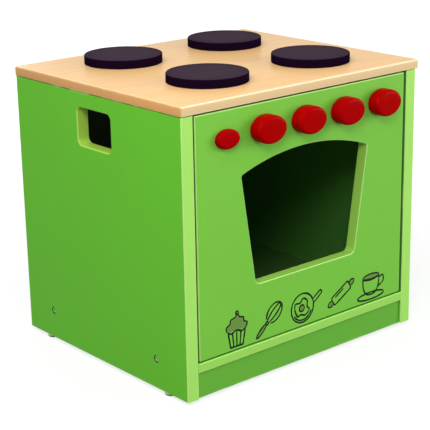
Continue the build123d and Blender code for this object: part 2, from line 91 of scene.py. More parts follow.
print("door:", [round(float(b - a), 4) for a, b in zip(door_low, door_high)], "metres")
print("hotplates:", round(disc_radius, 4), "metres in radius")

# %% [markdown]
# ## A small kit for shader nodes
#
# Materials are graphs of nodes. Writing them out link by link is tiring to read, so a few helpers keep it
# short. One adds a node and sets its inputs, where a value may be a number or another node's output.
# Others wrap the nodes that come again and again: sums, noise, mixed colours. One makes a group with named
# inputs and outputs. A group is only ever used for a colour, a mask or a height. What is the same all over
# a surface, such as its coat, is set on the shader itself.

# %% Node helpers
FLOAT, VECTOR, COLOUR = "NodeSocketFloat", "NodeSocketVector", "NodeSocketColor"


def put(tree, kind, inputs=None, **settings):
    """Adds a node. inputs maps a socket's name or number to a value or to another node's output."""
    node = tree.nodes.new(kind)
    for key, value in settings.items():
        setattr(node, key, value)
    for key, value in (inputs or {}).items():
        if isinstance(value, bpy.types.NodeSocket):
            tree.links.new(value, node.inputs[key])
        else:
            node.inputs[key].default_value = value
    return node


def math_node(tree, operation, first, second=0.0):
    """One sum on numbers or sockets."""
    return put(tree, "ShaderNodeMath", {0: first, 1: second}, operation=operation).outputs[0]


def vector_node(tree, operation, first, second):
    """One sum on vectors, as a vector."""
    return put(tree, "ShaderNodeVectorMath", {0: first, 1: second}, operation=operation).outputs[0]


def map_range(tree, value, low, high, to_low=0.0, to_high=1.0):
    """Stretches a value from one range to another, smoothly and without overshoot."""
    inputs = {"Value": value, "From Min": low, "From Max": high, "To Min": to_low, "To Max": to_high}
    return put(tree, "ShaderNodeMapRange", inputs, interpolation_type="SMOOTHSTEP").outputs[0]


def blend_colour(tree, factor, first, second):
    """Mixes two colours."""
    return put(tree, "ShaderNodeMix", {0: factor, 6: first, 7: second}, data_type="RGBA").outputs[2]


def own_place(tree):
    """Where a point lies on the object, in metres."""
    return put(tree, "ShaderNodeTexCoord").outputs["Object"]


def noise(tree, place, scale, detail):
    """Cloudy noise between 0 and 1."""
    inputs = {"Vector": place, "Scale": scale, "Detail": detail}
    return put(tree, "ShaderNodeTexNoise", inputs).outputs["Fac"]


def stretch(tree, place, factors):
    """Places times a factor along each axis. A pattern is drawn out where the factor is small."""
    return put(tree, "ShaderNodeMapping", {"Vector": place, "Scale": factors}).outputs[0]


def linear(red, green, blue):
    """A colour read from a screen, 0 to 255, as the linear value that a shader wants."""
    values = [c / 255 for c in (red, green, blue)]
    return [c / 12.92 if c <= 0.04045 else ((c + 0.055) / 1.055) ** 2.4 for c in values] + [1.0]


print("mid grey on the screen is", round(linear(128, 128, 128)[0], 3), "to a shader")


# %% Group and material helpers
def shader_group(name, inputs, outputs):
    """An empty shader group with named sockets. Returns it with its inner input and output nodes."""
    group = bpy.data.node_groups.new(name, "ShaderNodeTree")
    for label, kind, value in inputs:
        socket = group.interface.new_socket(label, in_out="INPUT", socket_type=kind)
        socket.default_value = value
    for label, kind in outputs:
        group.interface.new_socket(label, in_out="OUTPUT", socket_type=kind)
    return group, group.nodes.new("NodeGroupInput").outputs, group.nodes.new("NodeGroupOutput").inputs


def use_group(tree, group, inputs):
    """Puts a group into a material and gives its outputs."""
    return put(tree, "ShaderNodeGroup", inputs, node_tree=group).outputs


def new_material(name, **constants):
    """A material with one principled shader. constants are set on the shader's own sockets."""
    material = bpy.data.materials.new(name)
    material.use_nodes = True
    tree = material.node_tree
    shader = tree.nodes["Principled BSDF"]
    for key, value in constants.items():
        shader.inputs[key.replace("_", " ")].default_value = value
    return material, tree, shader


def add_relief(tree, shader, height, strength, depth):
    """Lets a height tilt the light on a surface."""
    bump = put(tree, "ShaderNodeBump", {"Strength": strength, "Distance": depth, "Height": height})
    tree.links.new(bump.outputs["Normal"], shader.inputs["Normal"])


def add_object(name, data):
    """Puts a mesh, curve, light or camera into the scene."""
    thing = bpy.data.objects.new(name, data)
    bpy.context.scene.collection.objects.link(thing)
    return thing


# %% [markdown]
# ## Five shared effects
#
# ** Board edge.** A lacquered board shows its broad faces in one green and its narrow edges in a lighter
# lime. Which is which follows from the surface's own direction: on a side panel the broad faces look along
# X, on the door along Y. The group compares the surface normal with the board's axis and gives 0 on broad
# faces and 1 on edges, with a soft change over the rounded corner between them. A second output is 1 on
# that rounded corner alone, the arris, where a pale line is painted as a highlight.
#
# **Worn edge.** Hands, floors and vacuum cleaners rub a play cooker along its outer edges. On a board that
# fills a box, a point on the surface has one coordinate at the box's wall, and the second smallest
# distance to the walls is the way to the nearest edge. The group takes the box's corners and a width, and
# breaks the line up with noise.
#
# **Mottle.** No sprayed board is one flat colour. Slow and fast noise together shift the colour a little.
#
# **Orange peel.** Sprayed lacquer dries with a faint skin of dimples about 2 mm wide. This group gives
# their height.
#
# ** Within.** A mask that is 1 inside a box and fades out over less than half a millimetre at its walls. It
# tells the lacquer where the painted shade of the oven's inside begins, and which of a board's edges belong
# to its holes.

# %% Board edge
board_edge, given, out = shader_group(
    "board edge", [("Board axis", VECTOR, (1, 0, 0))], [("Edge", FLOAT), ("Arris", FLOAT)]
)
normal = put(board_edge, "ShaderNodeTexCoord").outputs["Normal"]
directions = {0: normal, 1: given["Board axis"]}
along = put(board_edge, "ShaderNodeVectorMath", directions, operation="DOT_PRODUCT")
facing = math_node(board_edge, "ABSOLUTE", along.outputs["Value"])
board_edge.links.new(map_range(board_edge, facing, 0.35, 0.8, 1.0, 0.0), out["Edge"])
leaving_face = map_range(board_edge, facing, 0.93, 0.998, 1.0, 0.0)
reaching_edge = map_range(board_edge, facing, 0.05, 0.25)
board_edge.links.new(math_node(board_edge, "MULTIPLY", leaving_face, reaching_edge), out["Arris"])


# %% Worn edge and within
def wall_distances(tree, place, low, high):
    """How far inside each pair of a box's walls a point lies, one output per axis."""
    from_low = vector_node(tree, "SUBTRACT", place, low)
    from_high = vector_node(tree, "SUBTRACT", high, place)
    nearest = vector_node(tree, "MINIMUM", from_low, from_high)
    return put(tree, "ShaderNodeSeparateXYZ", {0: nearest}).outputs


box_corners = [("Low corner", VECTOR, (0, 0, 0)), ("High corner", VECTOR, (1, 1, 1))]

worn_edge, given, out = shader_group(
    "worn edge", box_corners + [("Width", FLOAT, 0.003)], [("Wear", FLOAT)]
)
place = own_place(worn_edge)
depths = wall_distances(worn_edge, place, given["Low corner"], given["High corner"])
small_xy = math_node(worn_edge, "MINIMUM", depths[0], depths[1])
large_xy = math_node(worn_edge, "MAXIMUM", depths[0], depths[1])
second = math_node(worn_edge, "MINIMUM", large_xy, math_node(worn_edge, "MAXIMUM", small_xy, depths[2]))
patches = noise(worn_edge, place, 38.0, 4.0)
breaks = map_range(worn_edge, patches, 0.35, 0.75, 0.25, 1.0)
reach = math_node(worn_edge, "MULTIPLY", given["Width"], breaks)
share = math_node(worn_edge, "DIVIDE", second, reach)
fade = map_range(worn_edge, share, 0.0, 1.0, 1.0, 0.0)
rubbed = math_node(worn_edge, "MULTIPLY", fade, map_range(worn_edge, patches, 0.42, 0.66))
worn_edge.links.new(rubbed, out["Wear"])

within, given, out = shader_group("within", box_corners, [("Inside", FLOAT)])
depths = wall_distances(within, own_place(within), given["Low corner"], given["High corner"])
depth = math_node(within, "MINIMUM", depths[0], math_node(within, "MINIMUM", depths[1], depths[2]))
within.links.new(map_range(within, depth, 0.0, 0.4 * MM), out["Inside"])


def inside_mask(tree, low, high):
    """The mask of one box."""
    return use_group(tree, within, {"Low corner": low, "High corner": high})["Inside"]


# %% Mottle and orange peel
mottle, given, out = shader_group(
    "mottle", [("Colour", COLOUR, (1, 1, 1, 1)), ("Amount", FLOAT, 0.05)], [("Colour", COLOUR)]
)
place = own_place(mottle)
slow = math_node(mottle, "MULTIPLY", noise(mottle, place, 7.0, 2.0), 0.7)
fast = math_node(mottle, "MULTIPLY", noise(mottle, place, 160.0, 5.0), 0.3)
both = math_node(mottle, "ADD", slow, fast)
shift = math_node(mottle, "MULTIPLY", math_node(mottle, "SUBTRACT", both, 0.5), given["Amount"])
hue = math_node(mottle, "ADD", math_node(mottle, "MULTIPLY", shift, 0.12), 0.5)
brightness = math_node(mottle, "ADD", math_node(mottle, "MULTIPLY", shift, 2.0), 1.0)
tinted = put(mottle, "ShaderNodeHueSaturation", {"Hue": hue, "Value": brightness, "Color": given["Colour"]})
mottle.links.new(tinted.outputs[0], out["Colour"])

orange_peel, given, out = shader_group("orange peel", [("Dimple size", FLOAT, 0.002)], [("Height", FLOAT)])
place = own_place(orange_peel)
dimples = noise(orange_peel, place, math_node(orange_peel, "DIVIDE", 1.0, given["Dimple size"]), 1.5)
waves = math_node(orange_peel, "MULTIPLY", noise(orange_peel, place, 28.0, 1.0), 2.0)
orange_peel.links.new(math_node(orange_peel, "ADD", dimples, waves), out["Height"])
print("shader groups:", [group.name for group in bpy.data.node_groups])

# %% [markdown]
# ## Green lacquer
#
# The carcass and the door are boards sprayed a satin grass green, with their edges a lighter lime. The
# colours were read from the photograph. The side and the front are one paint set as two colours: the
# side's is a deeper, shaded copy and the front's a lighter, yellower one. Inside the oven and in the gap
# round the door the lacquer is painted darker as shade, and the seam under the worktop carries a painted
# contact shade.
#
# Three boxes say where these changes lie: the oven's inside with the gap round the door, the inside behind
# the door alone, which is for the door and for the shelf whose front edge shows, and the seam. All are
# measured from the boards' own boxes.

# %% Lacquer colours and zones
# side_green and front_green are one paint: the side's is a deeper, shaded copy and the front's a lighter,
# yellower one.
side_green = linear(107, 203, 46)
front_green = linear(124, 202, 68)
lime = linear(172, 236, 108)
shelf_lime = linear(161, 226, 98)
# Painted highlight: the pale line on the boards' rounded arrises.
arris_highlight_green = linear(198, 247, 142)
worn_green = linear(196, 236, 140)
# Painted shade: the door's outer edges, which stand in the gap round the door, are darker.
door_edge_shade = linear(96, 140, 44)
# Painted shade: the hand hole's reveal is darker than the lime edges.
olive = linear(168, 210, 78)
# Painted highlight on the hand hole's rounded arris, softer than the others.
hand_hole_arris_highlight = linear(178, 222, 96)
window_lime = linear(166, 224, 92)
# Painted highlight on the window's rounded arris.
window_arris_highlight = linear(208, 252, 156)
# Painted shade in the screw holes' countersinks, on their cones and arrises.
screw_hole_shade_green = linear(30, 66, 18)
# Painted shade: the inside of the oven, its back wall and its shelf are darker.
inside_shade_green = linear(76, 136, 55)
back_shade_green = linear(30, 44, 26)
shelf_shade_green = linear(74, 120, 56)
# Painted shade: the plinth, under the shelf's overhang, is a darker copy of the green.
plinth_shade_green = linear(106, 184, 60)
# Painted contact shade along the joint under the worktop.
seam_shade_green = linear(44, 66, 20)
arris_highlight_strength = 0.85
seam_strength = 0.75
wear_strength = 0.35
wear_width = 3.5 * MM
rim_width = 6 * MM
rounded = 1.2 * MM
hand_hole_zone = 0.2  # above this height, the only hole that shows in a side panel is its hand hole


def corners(low, high):
    """A box as two corners that a shader group can read."""
    return tuple(low), tuple(high)


# Painted shade: inside the oven and in the gap round the door, the lacquer is darker.
oven_box = corners(
    (left_high[0] - rounded, front_y + 0.3 * MM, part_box("bottom_shelf")[1][2] - 0.5 * MM),
    (right_low[0] + rounded, back_y, worktop_low[2] + 0.5 * MM),
)
behind_door = ((oven_box[0][0], door_high[1], oven_box[0][2]), oven_box[1])
# The band of painted contact shade under the worktop.
seam_box = ((-1, -1, worktop_low[2] - 0.9 * MM), (1, 1, worktop_low[2] + 1 * MM))
print("oven inside:", [[round(float(v), 4) for v in corner] for corner in oven_box])

# %% [markdown]
# One function makes the lacquer for one board: it is told which way the board's broad faces look, which
# box it fills and its colours. The edges of its holes may have a colour of their own, which starts at a
# height, so that a side panel's screw holes and hand hole differ. Where the edges are worn, the lacquer is
# paler and duller. The satin comes from a base roughness of about a third under a thin clear coat.


# %% Lacquer
def board_middle(board_axis, box):
    """The box of a board without a rim along its outer edges, where its window and its holes are cut."""
    rims = [-rounded if along else rim_width for along in board_axis]
    low = tuple(value + rim for value, rim in zip(box[0], rims))
    high = tuple(value - rim for value, rim in zip(box[1], rims))
    return low, high


def lacquer(name, board_axis, box, face_colour, inside_shade_colour, edge_colour, cut_outs, dark_box):
    """Satin lacquer for one board.

    Each cut-out is a height, then the colours of the edges and of the arrises of the holes above it; the
    arris colour is a painted highlight, or painted shade for the screw holes.
    """
    material, tree, shader = new_material(
        name, Coat_Weight=0.04, Coat_Roughness=0.2, Specular_IOR_Level=0.11
    )
    turned = use_group(tree, board_edge, {"Board axis": board_axis})
    low, high = board_middle(board_axis, box)
    arris_colour = arris_highlight_green
    for from_height, cut_edge, cut_arris in cut_outs:
        cut_out = inside_mask(tree, (low[0], low[1], max(low[2], from_height)), high)
        edge_colour = blend_colour(tree, cut_out, edge_colour, cut_edge)
        arris_colour = blend_colour(tree, cut_out, arris_colour, cut_arris)
    colour = blend_colour(tree, turned["Edge"], face_colour, edge_colour)
    # Painted highlight: a pale line along each rounded arris.
    painted_highlight = math_node(tree, "MULTIPLY", turned["Arris"], arris_highlight_strength)
    colour = blend_colour(tree, painted_highlight, colour, arris_colour)
    # Painted shade inside the oven and in the gap round the door.
    colour = blend_colour(tree, inside_mask(tree, *dark_box), colour, inside_shade_colour)
    # Painted contact shade: a dark line along the joint under the worktop.
    seam_shade = math_node(tree, "MULTIPLY", inside_mask(tree, *seam_box), seam_strength)
    colour = blend_colour(tree, seam_shade, colour, seam_shade_green)
    colour = use_group(tree, mottle, {"Colour": colour, "Amount": 0.055})["Colour"]
    outer_edges = {"Low corner": box[0], "High corner": box[1], "Width": wear_width}
    wear = use_group(tree, worn_edge, outer_edges)["Wear"]
    colour = blend_colour(tree, math_node(tree, "MULTIPLY", wear, wear_strength), colour, worn_green)
    tree.links.new(colour, shader.inputs["Base Color"])
    satin = map_range(tree, noise(tree, own_place(tree), 18.0, 3.0), 0.3, 0.7, 0.30, 0.40)
    rough = math_node(tree, "ADD", satin, math_node(tree, "MULTIPLY", wear, 0.2))
    tree.links.new(rough, shader.inputs["Roughness"])
    skin = use_group(tree, orange_peel, {"Dimple size": 2.2 * MM})["Height"]
    add_relief(tree, shader, skin, 0.06, 0.4 * MM)
    return material


def paint(name, material):
    """Gives a carried-over node one material on all of its slots."""
    slots = nodes[name].data.materials
    if not slots:
        slots.append(material)
    for place_in_list in range(len(slots)):
        slots[place_in_list] = material


# %% The lacquered boards
# Painted shade in the screw holes' countersinks and in the hand hole's reveal, with a painted highlight on
# the hand hole's arris.
side_cuts = [(0.0, screw_hole_shade_green, screw_hole_shade_green), (hand_hole_zone, olive, hand_hole_arris_highlight)]
door_cuts = [(0.0, window_lime, window_arris_highlight)]
boards = {
    "left_side_panel": ((1, 0, 0), side_green, inside_shade_green, lime, side_cuts),
    "right_side_panel": ((1, 0, 0), side_green, inside_shade_green, lime, side_cuts),
    "oven_door": ((0, 1, 0), front_green, inside_shade_green, door_edge_shade, door_cuts),
    "plinth": ((0, 1, 0), plinth_shade_green, inside_shade_green, lime, []),
    "bottom_shelf": ((0, 0, 1), side_green, shelf_shade_green, shelf_lime, []),
    "front_top_rail": ((0, 0, 1), side_green, inside_shade_green, lime, []),
    "back_top_rail": ((0, 0, 1), side_green, inside_shade_green, lime, []),
    "back_panel": ((0, 1, 0), side_green, back_shade_green, lime, []),
}
for name, (board_axis, *colours) in boards.items():
    dark_box = behind_door if name in ("oven_door", "bottom_shelf") else oven_box
    paint(name, lacquer(f"lacquer {name}", board_axis, corners(*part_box(name)), *colours, dark_box))
print("lacquered boards:", len(boards))

# %% [markdown]
# ## Pale wood, dark wood and glossy red
#
# ** Worktop.** A pale peach lacquered board. Its grain is hardly more than a breath: long streaks along X,
# made by stretching a noise fourteen times longer than it is wide, with a few darker pores in it. Its
# upright faces are painted a dimmer, shaded copy of the peach, its rounded long edges carry a painted
# highlight as pale lines, and its lower edge a painted contact shade along the joint.
#
# ** Hotplates.** Round boards stained aubergine-black. Their tops are painted a lighter copy of the stain
# that stands in for a sheen, a little darker towards the rim, so the walls look darker. They were turned,
# so fine rings run round their middles. Each disc carries its own distance from the middle as an attribute
# called `turning`, and the rings follow that.
#
# **Knobs.** Thick red gloss over wood: an almost even colour, a smooth clear coat and a slow ripple in it.


# %% Worktop wood
peach = linear(249, 203, 140)
warm_peach = linear(246, 197, 133)
pore_brown = linear(222, 166, 104)
# Painted shade: a dimmer copy of the peach for the upright faces.
shaded_edge_peach = linear(234, 203, 150)
end_grain_brown = linear(228, 171, 107)
# Painted highlight for the rounded long edges, and painted contact shade for the joint below.
arris_highlight_peach = linear(255, 241, 208)
seam_shade_brown = linear(110, 78, 40)
worn_peach = linear(255, 236, 205)
grain_stretch = 14.0  # how many times longer than wide a streak is
pore_stretch = 26.0
grain_wander = 0.018
pore_strength = 0.09


def worktop_wood():
    """Pale lacquered wood, its grain along X."""
    material, tree, shader = new_material(
        "pale worktop wood", Coat_Weight=0.03, Coat_Roughness=0.2, Specular_IOR_Level=0.08
    )
    place = own_place(tree)
    bend = put(tree, "ShaderNodeTexNoise", {"Vector": place, "Scale": 5.0, "Detail": 2.0}).outputs["Color"]
    wander = put(tree, "ShaderNodeVectorMath", {0: bend, "Scale": grain_wander}, operation="SCALE")
    bent = vector_node(tree, "ADD", place, wander.outputs[0])
    streaks = noise(tree, stretch(tree, bent, (1.0, grain_stretch, grain_stretch)), 9.0, 6.0)
    pores = noise(tree, stretch(tree, bent, (1.0, pore_stretch, pore_stretch)), 34.0, 3.0)
    tone = map_range(tree, streaks, 0.32, 0.70)
    colour = blend_colour(tree, tone, peach, warm_peach)
    dark = math_node(tree, "MULTIPLY", map_range(tree, pores, 0.60, 0.74), pore_strength)
    colour = blend_colour(tree, dark, colour, pore_brown)
    upright = use_group(tree, board_edge, {"Board axis": (0, 0, 1)})
    # Painted shade: the upright faces get a dimmer copy of the peach.
    colour = blend_colour(tree, upright["Edge"], colour, shaded_edge_peach)
    long_way = use_group(tree, board_edge, {"Board axis": (1, 0, 0)})["Edge"]
    end_grain = math_node(tree, "SUBTRACT", 1.0, long_way)
    colour = blend_colour(tree, end_grain, colour, end_grain_brown)
    # Painted highlight: a pale line along the rounded long edges.
    long_arris = math_node(tree, "MULTIPLY", upright["Arris"], long_way)
    bright = math_node(tree, "MULTIPLY", long_arris, 0.7)
    colour = blend_colour(tree, bright, colour, arris_highlight_peach)
    low, high = corners(worktop_low, worktop_high)
    # Painted contact shade: a dark line on the lower rounding, along the joint.
    seam = inside_mask(tree, (-1, -1, low[2] - 1 * MM), (1, 1, low[2] + 0.7 * MM))
    colour = blend_colour(tree, math_node(tree, "MULTIPLY", seam, 0.6), colour, seam_shade_brown)
    wear = use_group(tree, worn_edge, {"Low corner": low, "High corner": high, "Width": 3 * MM})["Wear"]
    colour = blend_colour(tree, math_node(tree, "MULTIPLY", wear, 0.4), colour, worn_peach)
    colour = use_group(tree, mottle, {"Colour": colour, "Amount": 0.03})["Colour"]
    tree.links.new(colour, shader.inputs["Base Color"])
    tree.links.new(map_range(tree, streaks, 0.3, 0.7, 0.30, 0.40), shader.inputs["Roughness"])
    relief = math_node(tree, "SUBTRACT", streaks, math_node(tree, "MULTIPLY", dark, 0.6))
    add_relief(tree, shader, relief, 0.10, 0.3 * MM)
    return material


# %% Hotplate stain and red gloss
stain_and_sheen = linear(64, 51, 62)
pale_stain_and_sheen = linear(70, 57, 69)
rim_darkening = linear(44, 26, 44)
wall_stain = linear(23, 8, 30)
rim_reach = 22 * MM
ring_turn = 5200.0  # radians of a sine wave per metre, which is one ring every 1.2 mm


def hotplate_wood():
    """Dark stained wood with rings left by the lathe, its tops a lighter copy painted as a sheen."""
    material, tree, shader = new_material("hotplate stain", Specular_IOR_Level=0.0005)
    place = own_place(tree)
    turning = put(tree, "ShaderNodeAttribute", attribute_name="turning").outputs["Fac"]
    rounds = math_node(tree, "MULTIPLY", turning, ring_turn)
    uneven = math_node(tree, "MULTIPLY", noise(tree, place, 60.0, 3.0), 5.0)
    rings = math_node(tree, "SINE", math_node(tree, "ADD", rounds, uneven))
    grain = noise(tree, stretch(tree, place, (1.0, 12.0, 12.0)), 24.0, 4.0)
    # The tops are a lighter copy of the stain, a painted sheen, and a little darker towards the rim.
    top = blend_colour(tree, map_range(tree, grain, 0.35, 0.7), stain_and_sheen, pale_stain_and_sheen)
    rim = map_range(tree, turning, disc_radius - rim_reach, disc_radius)
    top = blend_colour(tree, math_node(tree, "MULTIPLY", rim, 0.25), top, rim_darkening)
    wall = use_group(tree, board_edge, {"Board axis": (0, 0, 1)})["Edge"]
    tree.links.new(blend_colour(tree, wall, top, wall_stain), shader.inputs["Base Color"])
    tree.links.new(map_range(tree, grain, 0.3, 0.7, 0.42, 0.56), shader.inputs["Roughness"])
    relief = math_node(tree, "ADD", math_node(tree, "MULTIPLY", rings, 0.25), grain)
    add_relief(tree, shader, relief, 0.12, 0.3 * MM)
    return material


def red_gloss():
    """Thick red lacquer with a slow ripple."""
    material, tree, shader = new_material(
        "red gloss", Coat_Weight=0.035, Coat_Roughness=0.12, Specular_IOR_Level=0.004
    )
    colour = use_group(tree, mottle, {"Colour": linear(172, 0, 1), "Amount": 0.04})["Colour"]
    tree.links.new(colour, shader.inputs["Base Color"])
    ripple = noise(tree, own_place(tree), 90.0, 2.0)
    tree.links.new(map_range(tree, ripple, 0.3, 0.7, 0.20, 0.28), shader.inputs["Roughness"])
    add_relief(tree, shader, ripple, 0.08, 0.4 * MM)
    return material


worktop_material = worktop_wood()
hotplate_material = hotplate_wood()
red_material = red_gloss()
print("materials so far:", len(bpy.data.materials))

# %% [markdown]
# ## Small hardware materials
#
# Zinc-plated steel for screws, pins, washers and plates, off-white nylon for the spacers and the catch,
# dark nylon for the door's bushes, coloured dark as painted shade so that they read as the door's gap,
# dark sintered ferrite for the magnet and plain beech for the dowels inside. Each has a little of its own
# life: brushed streaks in the plating, scuffs on the nylon, grains in the ferrite. The glides' soles are
# olive with a pale band at the top painted as a highlight, and the side screws' heads are painted over.
#
# One function makes them all, because they differ only in two tones, a grain size, a roughness and a relief.


# %% Hardware materials
def simple_material(name, first, second, scale, rough, relief, factors=(1, 1, 1), **constants):
    """Two colours and two roughnesses led by one noise, with a light relief."""
    material, tree, shader = new_material(name, **constants)
    grains = noise(tree, stretch(tree, own_place(tree), factors), scale, 4.0)
    colour = blend_colour(tree, map_range(tree, grains, 0.3, 0.7), first, second)
    tree.links.new(colour, shader.inputs["Base Color"])
    tree.links.new(map_range(tree, grains, 0.3, 0.7, *rough), shader.inputs["Roughness"])
    add_relief(tree, shader, grains, relief, 0.2 * MM)
    return material


def colour_above(material, low, high, colour):
    """Blends another colour over a material's own, from one height to another."""
    tree = material.node_tree
    base = tree.nodes["Principled BSDF"].inputs["Base Color"]
    own_colour = base.links[0].from_socket
    height = put(tree, "ShaderNodeSeparateXYZ", {0: own_place(tree)}).outputs[2]
    tree.links.new(blend_colour(tree, map_range(tree, height, low, high), own_colour, colour), base)


steel = simple_material(
    "zinc-plated steel", linear(176, 178, 180), linear(206, 206, 202), 900.0, (0.22, 0.42), 0.1, (1, 6, 1),
    Metallic=1.0,
)
nylon = simple_material("nylon", linear(222, 221, 212), linear(238, 237, 230), 300.0, (0.40, 0.55), 0.1)
sole = simple_material("glide", linear(86, 92, 22), linear(104, 108, 34), 260.0, (0.30, 0.45), 0.1)
# Painted shade: the door's bushes are dark so that they read as the shade of the door's gap.
gap_shade = simple_material("smoked nylon", linear(30, 44, 24), linear(44, 60, 36), 300.0, (0.40, 0.55), 0.1)
screw_paint = simple_material(
    "painted screw head", linear(128, 196, 84), linear(142, 208, 98), 400.0, (0.3, 0.45), 0.1
)
ferrite = simple_material("ferrite", linear(42, 40, 42), linear(62, 60, 60), 2200.0, (0.55, 0.75), 0.3)
beech = simple_material(
    "beech dowel", linear(214, 176, 128), linear(230, 196, 150), 160.0, (0.5, 0.65), 0.2, (1, 8, 8)
)
# Painted highlight: a pale band along the top of each glide.
colour_above(sole, 2.4 * MM, 2.9 * MM, linear(206, 226, 196))

slot_material = {"steel": steel, "nylon": nylon, "magnet": ferrite, "beech": beech}
hardware = [part for part in frame["record"]["subparts"] if part["material_slot"] in slot_material]
for part in hardware:
    paint(part["node"], slot_material[part["material_slot"]])
paint("door_bushes", gap_shade)
print("hardware nodes with a finish:", len(hardware))

# %% [markdown]
# ## Stacks of outlines
#
# A softened board, a turned disc and an oval knob are the same kind of thing: an outline that shrinks a
# little as it nears the top and the bottom. `loft` joins a stack of loops into one closed mesh, and
# `rounding` gives the pairs of inset and height that make a quarter-round edge. A knob's outline is an
# oval, a disc's a circle and the worktop's a rectangle with rounded corners.


# %% Lofting
def loft(name, loops):
    """A closed mesh through loops of points, all with the same count, capped at both ends."""
    count = len(loops[0])
    faces = []
    for row in range(len(loops) - 1):
        for i in range(count):
            j = (i + 1) % count
            faces.append((row * count + i, row * count + j, (row + 1) * count + j, (row + 1) * count + i))
    last = (len(loops) - 1) * count
    faces.append(tuple(reversed(range(count))))
    faces.append(tuple(last + i for i in range(count)))
    mesh = bpy.data.meshes.new(name)
    mesh.from_pydata([tuple(point) for loop in loops for point in loop], [], faces)
    shell = bmesh.new()
    shell.from_mesh(mesh)
    bmesh.ops.recalc_face_normals(shell, faces=shell.faces)
    shell.to_mesh(mesh)
    shell.free()
    mesh.shade_smooth()
    mesh.set_sharp_from_angle(angle=math.radians(32))
    return add_object(name, mesh)


def rounding(radius, height, steps, rising=True):
    """Inset and height pairs for a quarter-round. Rising, it goes from the wall to the top at height."""
    pairs = []
    for step in range(steps + 1):
        angle = math.pi / 2 * step / steps
        pairs.append((radius * (1 - math.cos(angle)), height - radius * (1 - math.sin(angle))))
    return pairs if rising else [(inset, 2 * height - h) for inset, h in reversed(pairs)]


def oval(half_width, half_height, count):
    """Points of an oval, evenly spaced in angle."""
    turns = [2 * math.pi * i / count for i in range(count)]
    return [(half_width * math.cos(t), half_height * math.sin(t)) for t in turns]


def rounded_rectangle(half_width, half_height, radius, steps):
    """Points of a rectangle with rounded corners."""
    points = []
    for quarter, (sx, sy) in enumerate([(1, 1), (-1, 1), (-1, -1), (1, -1)]):
        for step in range(steps + 1):
            angle = math.pi / 2 * (quarter + step / steps)
            x = sx * (half_width - radius) + radius * math.cos(angle)
            y = sy * (half_height - radius) + radius * math.sin(angle)
            points.append((x, y))
    return points


def finish_piece(piece, body, material, slot, *replaced):
    """Material, body and the nodes that the piece stands for. The record slot is not used."""
    piece.data.materials.clear()
    piece.data.materials.append(material)
    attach(piece, body)
    if replaced:
        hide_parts(*replaced)
    print(f"{piece.name}: {len(piece.data.polygons)} faces, rides on {body}")


# %% [markdown]
# ## The worktop
#
# One board with a soft upper edge, about 2 mm round, and a barely broken lower one. The corners are
# rounded as seen from above. It is a stack of outlines, so that each rounding is as fine as the light
# needs. Its lower face has the screw holes of the real board only where nobody looks, so they are left to
# the exact model.

# %% Worktop
lower_round = 0.6 * MM
upper_round = 2.2 * MM
corner_round = 3.2 * MM
centre = middle("worktop")
half_x = (worktop_high[0] - worktop_low[0]) / 2
half_y = (worktop_high[1] - worktop_low[1]) / 2
profile = rounding(lower_round, worktop_low[2], 3, rising=False)
profile += rounding(upper_round, worktop_high[2], 6)
loops = []
for inset, height in profile:
    outline = rounded_rectangle(half_x - inset, half_y - inset, corner_round - 0.9 * inset, 6)
    loops.append([(centre[0] + x, centre[1] + y, height) for x, y in outline])
worktop = loft("worktop_board", loops)
finish_piece(worktop, "carcass", worktop_material, "worktop", "worktop")

# %% [markdown]
# ## The knobs and the pull
#
# Four large oval knobs turn on screws that come through the door from behind, and a smaller, flatter one
# of the same family opens it. Each is a stack of ovals: a tight edge at the back, a straight wall, a
# generous round at the front and a face that swells by a third of a millimetre, which is what makes the
# gloss move when one walks past.


# %% Knobs
face_rings = 9


def button(name, node, back_radius, front_radius, swell):
    """An oval button that fills its node's box, its back towards the door."""
    low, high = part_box(node)
    half_width, half_height = (high[0] - low[0]) / 2, (high[2] - low[2]) / 2
    depth = high[1] - low[1]
    pairs = rounding(back_radius, 0.0, 3, rising=False)
    pairs += rounding(front_radius, depth - swell, 8)
    edge = pairs[-1][0]
    for step in range(1, face_rings):
        share = step / face_rings
        pairs.append((edge + (half_height - edge) * share, depth - swell * (1 - share * (2 - share))))
    x_middle, z_middle = (low[0] + high[0]) / 2, (low[2] + high[2]) / 2
    loops = []
    for inset, height in pairs:
        outline = oval(half_width - inset, half_height - inset, 96)
        loops.append([(x_middle + x, high[1] - height, z_middle + z) for x, z in outline])
    return loft(name, loops)


for name in knob_names:
    knob = button(f"{name}_oval", name, back_radius=1.4 * MM, front_radius=4.4 * MM, swell=0.3 * MM)
    finish_piece(knob, f"{name}_turning", red_material, "red", name)
pull = button("door_pull_oval", "door_pull", back_radius=1.0 * MM, front_radius=3.2 * MM, swell=0.25 * MM)
finish_piece(pull, "door", red_material, "red", "door_pull")

# %% [markdown]
# ## Things that repeat: Geometry Nodes
#
# The hotplates, the glides and the side screws each come four times. Instead of copying meshes by hand,
# one Geometry Nodes group sets a template on each point of a small mesh. Its inputs are named: the
# template, its material, how far copies are spun about their own axis, and the seed of that spin, which is
# fixed so that every run gives the same scene. Points carry a `facing` vector, which tells each copy where
# its top looks.

# %% Helpers for Geometry Nodes
GEOMETRY, OBJECT, MATERIAL = "NodeSocketGeometry", "NodeSocketObject", "NodeSocketMaterial"


def geometry_group(name, inputs, output):
    """An empty Geometry Nodes group with named sockets, and its inner input and output nodes."""
    group = bpy.data.node_groups.new(name, "GeometryNodeTree")
    for label, kind in inputs:
        group.interface.new_socket(label, in_out="INPUT", socket_type=kind)
    group.interface.new_socket(output, in_out="OUTPUT", socket_type=GEOMETRY)
    print(f"{name}: {[item.name for item in group.interface.items_tree]}")
    return group, group.nodes.new("NodeGroupInput").outputs, group.nodes.new("NodeGroupOutput").inputs


